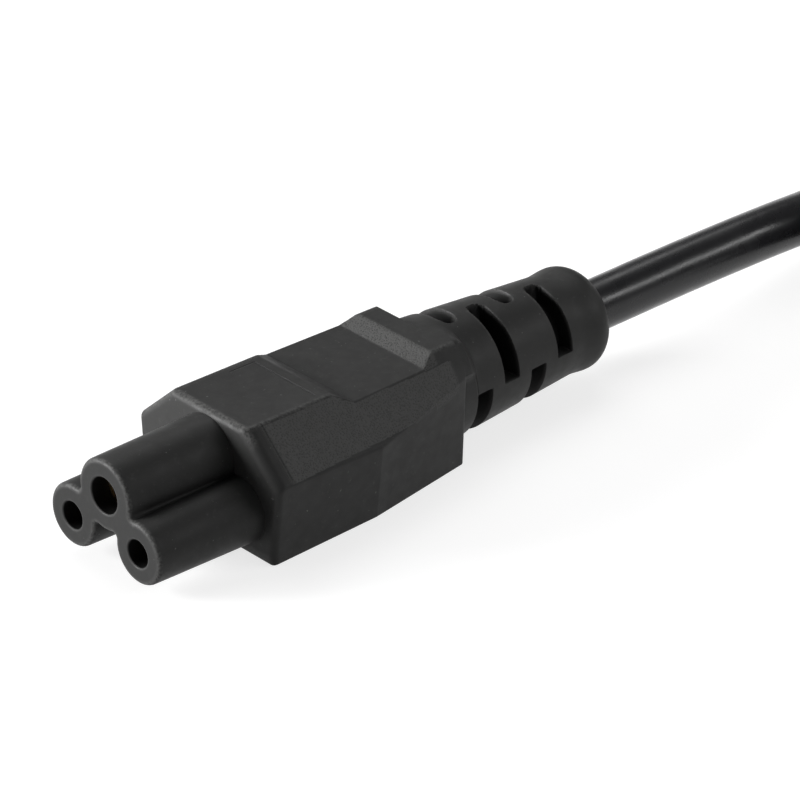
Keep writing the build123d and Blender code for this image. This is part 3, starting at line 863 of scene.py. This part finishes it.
def connector_moulding(colours):
    """Satin black PVC: mould grain, slow unevenness, scuffs, and lighter or darker tints laid over in turn.

    The tints are for scuffs, painted light low on the sides towards the relief, specks, spark-eroded panels and
    ramp, lighter edges with a painted highlight at the front's upper edges and the barrels' rim, and painted shade
    in the slots, creases and holes and on the mating face. Fine mould lines are sunk into the surface."""
    g = Finish("connector_moulding", specular=MOULDING_SPECULAR)
    x, y, z = g.axes()
    slow = g.noise(190.0)
    spark = g.cells(4600.0)
    panel, ramp = g.mark("panel"), g.mark("ramp")
    rough_zone = g.math("MAXIMUM", panel, ramp)
    # Painted light: the sides low down towards the relief are made lighter, where the turned rear side catches
    # more light
    painted_rear_side_light = g.product(
        g.ramp(x, BODY_X + 18.0 * MM, RELIEF_X + 2.0 * MM), g.ramp(z, 10.0 * MM, 12.5 * MM, 0.45, 0.0))
    base = g.uneven(slow, colours.moulding, 0.86, 1.16)
    for factor, share in (
        (g.ramp(g.noise(1300.0, 6.0, 0.7), 0.54, 0.72, 0.0, 0.55), 1.7),
        (painted_rear_side_light, 1.9),
        (g.ramp(g.noise(2600.0, 1.0), 0.76, 0.80), 3.2),
        (g.product(panel, g.ramp(spark, 0.1, 0.6, 0.5, 1.0)), 2.8),
        (g.product(ramp, g.ramp(spark, 0.1, 0.5)), 2.4),
        # edge mark: lighter edges, with a painted highlight at the front's upper edges and the barrels' rim
        (g.product(g.mark("edge"), g.ramp(g.noise(3600.0), 0.3, 0.68)), 2.7),
        # slot mark: painted shade in the slots, creases and holes and on the mating face
        (g.mark("slot"), PAINTED_SHADE_TINT),
    ):
        base = g.blend(factor, base, tint(colours.moulding, share))
    satin = g.ramp(g.noise(700.0, 4.0), 0.25, 0.75, 0.48, 0.58)
    rough = g.math("ADD", satin, g.product(rough_zone, 0.12))
    normal = g.bump(slow, 0.05 * MM, 0.35)
    normal = g.bump(g.noise(5200.0, 2.0), 0.012 * MM, 0.5, normal)
    normal = g.bump(g.product(rough_zone, spark), 0.05 * MM, 0.8, normal)
    normal = g.bump(g.math("SUBTRACT", 1.0, connector_lines(g, x, y, z)), 0.10 * MM, 0.9, normal)
    return g.done(base, rough, normal)


def plug_moulding(colours):
    """Satin black PVC of the plug: the same compound with a slightly coarser mould grain."""
    g = Finish("plug_moulding", specular=MOULDING_SPECULAR)
    slow = g.noise(120.0)
    base = g.uneven(slow, colours.moulding, 0.86, 1.16)
    # Painted shade: the relief's slots are darkened through the slot mark
    base = g.blend(g.mark("slot"), base, tint(colours.moulding, PAINTED_SHADE_TINT))
    rough = g.ramp(g.noise(600.0, 4.0), 0.25, 0.75, 0.46, 0.57)
    return g.done(base, rough, g.bump(g.noise(4200.0), 0.02 * MM, 0.6, g.bump(slow, 0.06 * MM, 0.3)))


def jacket_finish(colours):
    """Extruded PVC jacket: glossier skin, slow waviness and very fine drawing grain."""
    g = Finish("jacket_finish", specular=0.36)
    slow = g.noise(150.0, 2.0)
    base = g.uneven(slow, colours.jacket, 0.88, 1.14)
    rough = g.ramp(g.noise(420.0), 0.25, 0.75, 0.24, 0.32)
    return g.done(base, rough, g.bump(g.noise(3000.0, 2.0), 0.006 * MM, 0.5, g.bump(slow, 0.14 * MM, 0.5)))


def strap_finish(colours):
    """Woven strap: a fine two-way weave over a matt base."""
    g = Finish("strap_finish")
    x, y, z = g.axes()
    warp = g.math("SINE", g.product(x, 7200.0))
    weft = g.math("SINE", g.product(g.math("ADD", y, z), 5200.0))
    fuzz = g.noise(2600.0, 4.0)
    base = g.uneven(fuzz, colours.strap, 0.7, 1.5)
    rough = g.ramp(fuzz, 0.3, 0.7, 0.78, 0.92)
    return g.done(base, rough, g.bump(g.product(warp, weft), 0.07 * MM, 0.7, g.bump(fuzz, 0.05 * MM, 0.6)))


def metal_finish(name, tone, scale, low, high):
    """Formed or turned metal: fine scratches drawn along X over slow tarnish."""
    g = Finish(name, metallic=1.0)
    scratch = g.noise(900.0, 2.0, coords=g.stretch((0.05, 2.0, 2.0)))
    base = g.uneven(g.noise(scale, 4.0), tone, 0.82, 1.06)
    rough = g.ramp(g.noise(scale, 1.0), 0.3, 0.7, low, high)
    return g.done(base, rough, g.bump(scratch, 0.002 * MM, 0.3))


def inner_plastic(g, base, low, high):
    """Ends the finish of an inner plastic: satin to matt, with a fine grain."""
    rough = g.ramp(g.noise(900.0), 0.3, 0.7, low, high)
    return g.done(base, rough, g.bump(g.noise(4000.0, 2.0), 0.01 * MM, 0.5))


def plain_plastic(name, tone, low, high):
    """Inner plastic of one colour that changes slowly."""
    g = Finish(name)
    return inner_plastic(g, g.uneven(g.noise(400.0), tone, 0.85, 1.12), low, high)


def earth_insulation(colours, low, high):
    """Earth core: green, and yellow on its +Y side, with an uneven border between them."""
    g = Finish("earth_insulation")
    side = g.math("ADD", g.axes()[1], g.product(g.noise(300.0, 2.0), 0.2 * MM))
    base = g.blend(g.ramp(side, 0.0, 0.12 * MM), colours.earth_green, colours.earth_yellow)
    return inner_plastic(g, base, low, high)


def dress(node, material):
    """Gives a shown CAD node its finish."""
    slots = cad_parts[node].data.materials
    slots.clear()
    slots.append(material)


class CORD_OT_connector(bpy.types.Operator):
    """Connector moulding: cloverleaf barrels, six-sided body with its pocket, slotted strain relief"""
    bl_idname = "power_cord.connector"
    bl_label = "Connector moulding"

    def execute(self, context):
        scene = context.scene
        sizes = scene.connector_sizes
        barrels, rim, crease = clover_rings(sizes)
        places = (
            (LINE_PLACE, sizes.line_hole_r, LINE_CAVITY_R),
            (LINE_PLACE * MIRROR, sizes.line_hole_r, LINE_CAVITY_R),
            (EARTH_PLACE, sizes.earth_hole_r, EARTH_CAVITY_R),
        )
        holes = [
            hole_rings(place, radius, cavity, HOLE_LIP, CARRIER_DEPTH, FRONT_X, 1.0)
            for place, radius, cavity in places]
        face = flat_face(FRONT_X, barrels[0, :, 1:], [hole[0, :, 1:] for hole in holes])
        body = body_rings(sizes)
        relief, deep, slot_rim = relief_rings(
            scene.relief_sizes, RELIEF_LENGTH, RELIEF_RADII, RELIEF_AXIS, RELIEF_X, 1.0, REAR_CORNERS)
        patches = [face, shell(barrels, close_first=False), shell(body), shell(relief)]
        # Painted shade, carried by the slot mark: the mating face, the barrels' creases, the relief's slots and
        # the holes' insides are darkened
        painted_shade = {0: np.full(len(face[0]), FACE_SHADE), 1: crease, 3: deep}
        for hole in holes:
            # A hole's inside past its rim rows is darkened as painted shade; its flat ring takes the face's
            # painted shade
            inside = np.where(np.arange(len(hole)) > HOLE_RIM_ROWS, 1.0, 0.0)
            inside[0] = FACE_SHADE
            painted_shade[len(patches)] = np.repeat(inside, hole.shape[1])
            patches.append(shell(hole, close_first=False))
        marks = body_marks(body, sizes.pocket_floor)
        values = {mark: spread_mark(patches, {2: zone}) for mark, zone in marks.items()}
        # Painted highlight on the barrels' rim, and lighter rims round the slots' upper ends
        values["edge"] += spread_mark(patches, {1: rim, 3: 0.8 * slot_rim})
        # The slot mark holds painted shade, not a property of the moulding
        values["slot"] = spread_mark(patches, painted_shade)
        piece = put_piece(
            "connector_moulding", patches, connector_moulding(scene.finish_colours), marks=values)
        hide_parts("connector_housing")
        return {"FINISHED"}


class CORD_OT_cord(bpy.types.Operator):
    """Cord: one spline from inside the strain relief through the tied hank into the plug"""
    bl_idname = "power_cord.cord"
    bl_label = "Cord"

    def execute(self, context):
        sizes = context.scene.cord_sizes
        turns = hank_points(sizes.diameter).reshape(-1, 3)
        points = np.concatenate([LEAD_POINTS, [HANK_FIRST_RUN], turns[:-1], [HANK_LAST_RUN], TAIL_POINTS])
        curve = bpy.data.curves.new("cord", "CURVE")
        curve.dimensions = "3D"
        spline = curve.splines.new("NURBS")
        spline.points.add(len(points) - 1)
        spline.points.foreach_set("co", np.column_stack([points, np.ones(len(points))]).ravel())
        spline.order_u = 3
        spline.use_endpoint_u = True
        spline.resolution_u = 8
        spline.use_smooth = True
        curve.bevel_depth = sizes.diameter / 2.0
        curve.bevel_resolution = 8
        curve.use_fill_caps = True
        curve.materials.append(jacket_finish(context.scene.finish_colours))
        piece = bpy.data.objects.new("cord", curve)
        context.scene.collection.objects.link(piece)
        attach(piece, BODY)
        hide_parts("cord_lead", "cord_hank", "cord_tail")
        on_cord = [context.scene.objects[name] for name in (
            "cord_tie_strap", "plug_moulding", "line_pin_plated", "neutral_pin_plated")]
        on_cord += [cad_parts[name] for name in (
            "plug_bridge", "earth_strap", "earth_socket",
            "plug_line_wire", "plug_neutral_wire", "plug_earth_wire")]
        return {"FINISHED"}


class CORD_OT_tie(bpy.types.Operator):
    """Tie: a woven strap round one side of the hank, its end lapped over the top"""
    bl_idname = "power_cord.tie"
    bl_label = "Hank tie"

    def execute(self, context):
        sizes = context.scene.cord_sizes
        thick = sizes.tie_thickness
        outer, inner, clear, corner = 25.65 * MM, 14.25 * MM, 0.03 * MM, 2.85 * MM
        lapped, lap_share, lap_top = slice(11, 26), 0.97, 1.9 * MM
        path, outward = strap_path((HANK_Y - outer, thick + clear), (HANK_Y - inner, HANK_HEIGHT), corner, 12)
        ring = strap_rings(path, outward, HANK_X, sizes.tie_width, 0.0, thick)
        band = np.concatenate([ring, ring[:1]])
        lap = strap_rings(path[lapped], outward[lapped], HANK_X, sizes.tie_width * lap_share, thick, lap_top)
        piece = put_piece(
            "cord_tie_strap", [shell(band, False, False), shell(lap)], strap_finish(context.scene.finish_colours),
            sharp=50.0)
        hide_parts("cord_tie")
        return {"FINISHED"}


class CORD_OT_plug(bpy.types.Operator):
    """Mains plug: moulding with grip, flats, notches, grooves and earth hole, and its two pins"""
    bl_idname = "power_cord.plug"
    bl_label = "Mains plug"

    def execute(self, context):
        scene = context.scene
        sizes = scene.plug_sizes
        head = plug_head_rings(sizes)
        mouth_r, seat_r, lip, depth = 2.8 * MM, 3.06 * MM, 1.6 * MM, 14.2 * MM
        mouth = hole_rings(PLUG_HOLE, mouth_r, seat_r, lip, depth, PLUG_FACE_X, -1.0)
        face = flat_face(PLUG_FACE_X, head[-1, :, 1:], [mouth[0, :, 1:]])
        relief, deep, _ = relief_rings(
            scene.relief_sizes, PLUG_RELIEF_LENGTH, PLUG_RELIEF_RADII, PLUG_AXIS, PLUG_GRIP_X, -1.0)
        patches = [shell(head, close_last=False), face, shell(mouth, close_first=False), shell(relief)]
        # The slot mark carries painted shade in the relief's slots
        values = {"slot": spread_mark(patches, {3: deep})}
        piece = put_piece(
            "plug_moulding", patches, plug_moulding(scene.finish_colours), marks=values)
        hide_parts("plug_housing")
        nickel = metal_finish("nickel_plate", scene.finish_colours.nickel, 120.0, 0.28, 0.33)
        for node, side in (("line_pin", 1.0), ("neutral_pin", -1.0)):
            rings = pin_rings(sizes, PLUG_AXIS[0] + side * sizes.pin_spacing / 2.0)
            pin = put_piece(node + "_plated", [shell(rings)], nickel, sharp=35.0)
            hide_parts(node)
        dress("earth_strap", nickel)
        return {"FINISHED"}


class CORD_OT_inside(bpy.types.Operator):
    """Finishes of the inner pieces that stay as packed: contacts, carriers and insulated cores"""
    bl_idname = "power_cord.inside"
    bl_label = "Inner pieces"

    def execute(self, context):
        colours = context.scene.finish_colours
        core = (0.38, 0.5)
        for material, nodes in (
            (metal_finish("contact_brass", colours.brass, 500.0, 0.26, 0.42),
             ("line_contact", "neutral_contact", "earth_contact", "earth_socket")),
            (plain_plastic("carrier_plastic", colours.carrier, 0.45, 0.6), ("contact_carrier", "plug_bridge")),
            (plain_plastic("line_insulation", colours.line, *core), ("line_wire", "plug_line_wire")),
            (plain_plastic("neutral_insulation", colours.neutral, *core), ("neutral_wire", "plug_neutral_wire")),
            (earth_insulation(colours, *core), ("earth_wire", "plug_earth_wire")),
        ):
            for node in nodes:
                dress(node, material)
        return {"FINISHED"}


def white_room(light):
    """World that is white at the horizon and eases to the room light overhead."""
    world = bpy.data.worlds.new("room")
    g = Graph(world, "ShaderNodeOutputWorld", "Generated")
    strength = g.ramp(g.axes()[2], 0.02, 0.20, 1.0, light.sky)
    g.surface(g.node("ShaderNodeBackground", {"Color": (1.0, 1.0, 1.0, 1.0), "Strength": strength}))
    return world


def seen_white(g):
    """Socket that is 1 for what the camera sees, straight or in gloss or glass, 0 for the light on the object."""
    path = g.node("ShaderNodeLightPath").outputs
    total = path["Is Camera Ray"]
    for name in ("Is Glossy Ray", "Is Transmission Ray"):
        total = g.math("MAXIMUM", total, path[name])
    return total


def pale_floor(light):
    """Matt floor plus the white that the camera sees, which grows to 1 with the distance from the object."""
    reach, below = 4.0, -2e-5
    corners = [(reach * x, reach * y, below) for x, y in ((-1, -1), (1, -1), (1, 1), (-1, 1))]
    mesh = bpy.data.meshes.new("floor")
    mesh.from_pydata(corners, [], [(0, 1, 2, 3)])
    paint = bpy.data.materials.new("floor_paint")
    g = Graph(paint)
    away = g.node("ShaderNodeVectorMath", {0: g.coords}, operation="LENGTH").outputs["Value"]
    level = g.ramp(away, 0.2, 0.7, light.floor_glow, 1.0, "LINEAR")
    matt = g.node("ShaderNodeBsdfDiffuse", {"Color": (*light.floor, 1.0)})
    glow = g.node("ShaderNodeEmission", {"Strength": g.product(seen_white(g), level)})
    g.surface(g.node("ShaderNodeAddShader", {0: matt.outputs[0], 1: glow.outputs[0]}))
    mesh.materials.append(paint)
    floor = bpy.data.objects.new("floor", mesh)
    bpy.context.scene.collection.objects.link(floor)


def lamp(name, place, target, size, energy):
    """Soft rectangular lamp at a place, facing a target."""
    data = bpy.data.lights.new(name, "AREA")
    data.shape = "RECTANGLE"
    data.size, data.size_y = size
    data.energy = energy
    made = bpy.data.objects.new(name, data)
    made.location = place
    made.rotation_euler = (Vector(target) - Vector(place)).to_track_quat("-Z", "Y").to_euler()
    bpy.context.scene.collection.objects.link(made)


def photo_camera():
    """Camera at its place: it looks along yaw and pitch, and is turned about that line by the roll."""
    data = bpy.data.cameras.new("camera")
    data.lens = CAMERA_LENS
    data.sensor_width = 36.0
    data.clip_start, data.clip_end = 0.01, 50.0
    camera = bpy.data.objects.new("camera", data)
    bpy.context.scene.collection.objects.link(camera)
    level = math.cos(CAMERA_PITCH)
    forward = Vector((math.sin(CAMERA_YAW) * level, math.cos(CAMERA_YAW) * level, -math.sin(CAMERA_PITCH)))
    right = Vector((math.cos(CAMERA_YAW), -math.sin(CAMERA_YAW), 0.0))
    up = right.cross(forward)
    cosine, sine = math.cos(CAMERA_ROLL), math.sin(CAMERA_ROLL)
    turned = Matrix((cosine * right + sine * up, cosine * up - sine * right, -forward)).transposed()
    camera.matrix_world = Matrix.Translation(CAMERA_PLACE) @ turned.to_4x4()
    return camera


class CORD_OT_stage(bpy.types.Operator):
    """Pale floor, even room, three soft lamps and the camera of the photograph"""
    bl_idname = "power_cord.stage"
    bl_label = "Studio"

    def execute(self, context):
        scene = context.scene
        light = scene.studio_light
        scene.view_settings.view_transform = "Standard"
        scene.world = white_room(light)
        pale_floor(light)
        for name, (place, target, size, energy) in LAMPS.items():
            lamp(name, place, target, size, getattr(light, energy))
        scene.camera = photo_camera()
        return {"FINISHED"}


class CORD_PT_panel(bpy.types.Panel):
    """Sidebar list of the cord's pieces"""
    bl_idname = "CORD_PT_panel"
    bl_label = "Power cord"
    bl_space_type = "VIEW_3D"
    bl_region_type = "UI"
    bl_category = "Power cord"

    def draw(self, context):
        for operator in PIECES + (CORD_OT_stage,):
            self.layout.operator(operator.bl_idname)
        for name in GROUPS:
            group = getattr(context.scene, name)
            box = self.layout.box()
            box.label(text=name.replace("_", " ").capitalize())
            for key in group.bl_rna.properties.keys():
                if key not in {"rna_type", "name"}:
                    box.prop(group, key)


GROUPS = {
    "connector_sizes": ConnectorSizes,
    "relief_sizes": ReliefSizes,
    "cord_sizes": CordSizes,
    "plug_sizes": PlugSizes,
    "finish_colours": FinishColours,
    "studio_light": StudioLight,
}
PIECES = (CORD_OT_connector, CORD_OT_tie, CORD_OT_plug, CORD_OT_inside, CORD_OT_cord)


def register():
    for group in GROUPS.values():
        bpy.utils.register_class(group)
    for operator in PIECES + (CORD_OT_stage, CORD_PT_panel):
        bpy.utils.register_class(operator)
    for name, group in GROUPS.items():
        setattr(bpy.types.Scene, name, PointerProperty(type=group))


def unregister():
    for name in GROUPS:
        delattr(bpy.types.Scene, name)
    for made in (CORD_PT_panel, CORD_OT_stage) + PIECES[::-1] + tuple(GROUPS.values()):
        bpy.utils.unregister_class(made)


def main():
    register()
    bpy.ops.power_cord.connector()
    bpy.ops.power_cord.tie()
    bpy.ops.power_cord.plug()
    bpy.ops.power_cord.inside()
    bpy.ops.power_cord.cord()
    bpy.ops.power_cord.stage()
    bpy.context.view_layer.update()


if __name__ == "__main__":
    main()
